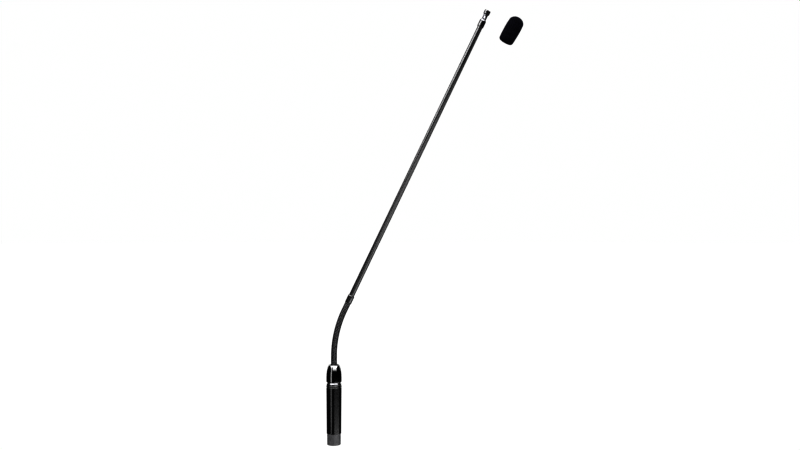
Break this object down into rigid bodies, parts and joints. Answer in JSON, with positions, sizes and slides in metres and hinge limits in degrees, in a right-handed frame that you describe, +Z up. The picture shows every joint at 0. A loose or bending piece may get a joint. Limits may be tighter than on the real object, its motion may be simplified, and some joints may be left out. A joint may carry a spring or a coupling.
{
  "type": "gooseneck microphone",
  "caption": "Plug-in condenser microphone: XLR plug base with preamp barrel, short gooseneck, long thin boom, slotted capsule head and a pull-off foam windscreen.",
  "frame": {"origin": "centre of the plug's shoulder, the plane that seats against the socket's face", "axes": "+Z up the base axis away from the socket, +X to the side that the boom leans, -Y towards the viewer"},
  "size_m": [0.2776, 0.0226, 0.6132],
  "materials": {
    "plug_metal": "satin",
    "insert_plastic": "matte",
    "pin_gold": "polished",
    "screw_steel": "satin",
    "lead_wire": "satin",
    "barrel_black": "satin",
    "ring_black": "satin",
    "sleeve_thread": "satin",
    "seal_rubber": "matte",
    "nut_gloss": "gloss",
    "bush_brass": "satin",
    "board_green": "satin",
    "can_sleeve": "satin",
    "chip_black": "matte",
    "neck_steel": "satin",
    "ferrule_black": "satin",
    "tube_black": "satin",
    "tip_black": "gloss",
    "capsule_metal": "gloss",
    "head_black": "gloss",
    "cartridge_metal": "satin",
    "mesh_steel": "satin",
    "cable_black": "satin",
    "foam_black": "matte"
  },
  "bodies": {
    "base": {"plug_shell": "plug_metal", "plug_insert": "insert_plastic", "contact_pin_1": "pin_gold", "contact_pin_2": "pin_gold", "contact_pin_3": "pin_gold", "plug_screw": "screw_steel", "contact_leads": "lead_wire", "barrel": "barrel_black", "lock_ring": "ring_black", "threaded_sleeve": "sleeve_thread", "seal_ring": "seal_rubber", "collar_nut": "nut_gloss", "gooseneck_anchor": "bush_brass", "preamp_board": "board_green", "board_capacitors": "can_sleeve", "board_chips": "chip_black", "gooseneck_root": "neck_steel", "signal_cable": "cable_black"},
    "link_01": {"gooseneck_link_01": "neck_steel"},
    "link_02": {"gooseneck_link_02": "neck_steel"},
    "link_03": {"gooseneck_link_03": "neck_steel"},
    "link_04": {"gooseneck_link_04": "neck_steel"},
    "link_05": {"gooseneck_link_05": "neck_steel"},
    "link_06": {"gooseneck_link_06": "neck_steel"},
    "link_07": {"gooseneck_link_07": "neck_steel"},
    "link_08": {"gooseneck_link_08": "neck_steel"},
    "link_09": {"gooseneck_link_09": "neck_steel"},
    "link_10": {"gooseneck_link_10": "neck_steel"},
    "link_11": {"gooseneck_link_11": "neck_steel"},
    "boom": {"gooseneck_end": "neck_steel", "boom_ferrule": "ferrule_black", "ferrule_screw": "screw_steel", "boom_tube": "tube_black", "tip_sleeve": "tip_black", "capsule_neck": "capsule_metal", "capsule_head": "head_black", "capsule_cartridge": "cartridge_metal", "capsule_gasket": "seal_rubber", "capsule_mesh": "mesh_steel"},
    "windscreen": {"windscreen_foam": "foam_black"}
  },
  "joints": [
    {"name": "gooseneck_bend_1", "type": "hinge", "parent": "base", "child": "link_01", "pos_m": [0, 0, 0.10132], "axis": [0, 1, 0], "range_deg": [-18, 10], "deforming": ["signal_cable"]},
    {"name": "gooseneck_sway_1", "type": "hinge", "parent": "link_01", "child": "link_02", "pos_m": [0, 0, 0.10877], "axis": [1, 0, -0.0005], "range_deg": [-14, 14]},
    {"name": "gooseneck_bend_2", "type": "hinge", "parent": "link_02", "child": "link_03", "pos_m": [0.00019, 0, 0.11622], "axis": [0, 1, 0], "range_deg": [-18, 10]},
    {"name": "gooseneck_sway_2", "type": "hinge", "parent": "link_03", "child": "link_04", "pos_m": [0.00075, 0, 0.12365], "axis": [0.995, 0, -0.0997], "range_deg": [-14, 14]},
    {"name": "gooseneck_bend_3", "type": "hinge", "parent": "link_04", "child": "link_05", "pos_m": [0.00167, 0, 0.13104], "axis": [0, 1, 0], "range_deg": [-18, 10]},
    {"name": "gooseneck_sway_3", "type": "hinge", "parent": "link_05", "child": "link_06", "pos_m": [0.00297, 0, 0.13838], "axis": [0.9802, 0, -0.1979], "range_deg": [-14, 14]},
    {"name": "gooseneck_bend_4", "type": "hinge", "parent": "link_06", "child": "link_07", "pos_m": [0.00462, 0, 0.14564], "axis": [0, 1, 0], "range_deg": [-18, 10]},
    {"name": "gooseneck_sway_4", "type": "hinge", "parent": "link_07", "child": "link_08", "pos_m": [0.00663, 0, 0.15281], "axis": [0.9558, 0, -0.2941], "range_deg": [-14, 14]},
    {"name": "gooseneck_bend_5", "type": "hinge", "parent": "link_08", "child": "link_09", "pos_m": [0.009, 0, 0.15988], "axis": [0, 1, 0], "range_deg": [-18, 10]},
    {"name": "gooseneck_sway_5", "type": "hinge", "parent": "link_09", "child": "link_10", "pos_m": [0.01171, 0, 0.16681], "axis": [0.9219, 0, -0.3874], "range_deg": [-14, 14]},
    {"name": "gooseneck_bend_6", "type": "hinge", "parent": "link_10", "child": "link_11", "pos_m": [0.01477, 0, 0.17361], "axis": [0, 1, 0], "range_deg": [-18, 10]},
    {"name": "gooseneck_sway_6", "type": "hinge", "parent": "link_11", "child": "boom", "pos_m": [0.01799, 0, 0.18033], "axis": [0.9018, 0, -0.4321], "range_deg": [-14, 14]},
    {"name": "windscreen_pull", "type": "slide", "parent": "boom", "child": "windscreen", "axis": [0.4321, 0, 0.9018], "range_m": [0, 0.045]}
  ],
  "couplings": [
    {"joint": "gooseneck_bend_2", "follows": "gooseneck_bend_1", "ratio": 1},
    {"joint": "gooseneck_sway_2", "follows": "gooseneck_sway_1", "ratio": 1},
    {"joint": "gooseneck_bend_3", "follows": "gooseneck_bend_1", "ratio": 1},
    {"joint": "gooseneck_sway_3", "follows": "gooseneck_sway_1", "ratio": 1},
    {"joint": "gooseneck_bend_4", "follows": "gooseneck_bend_1", "ratio": 1},
    {"joint": "gooseneck_sway_4", "follows": "gooseneck_sway_1", "ratio": 1},
    {"joint": "gooseneck_bend_5", "follows": "gooseneck_bend_1", "ratio": 1},
    {"joint": "gooseneck_sway_5", "follows": "gooseneck_sway_1", "ratio": 1},
    {"joint": "gooseneck_bend_6", "follows": "gooseneck_bend_1", "ratio": 1},
    {"joint": "gooseneck_sway_6", "follows": "gooseneck_sway_1", "ratio": 1}
  ]
}
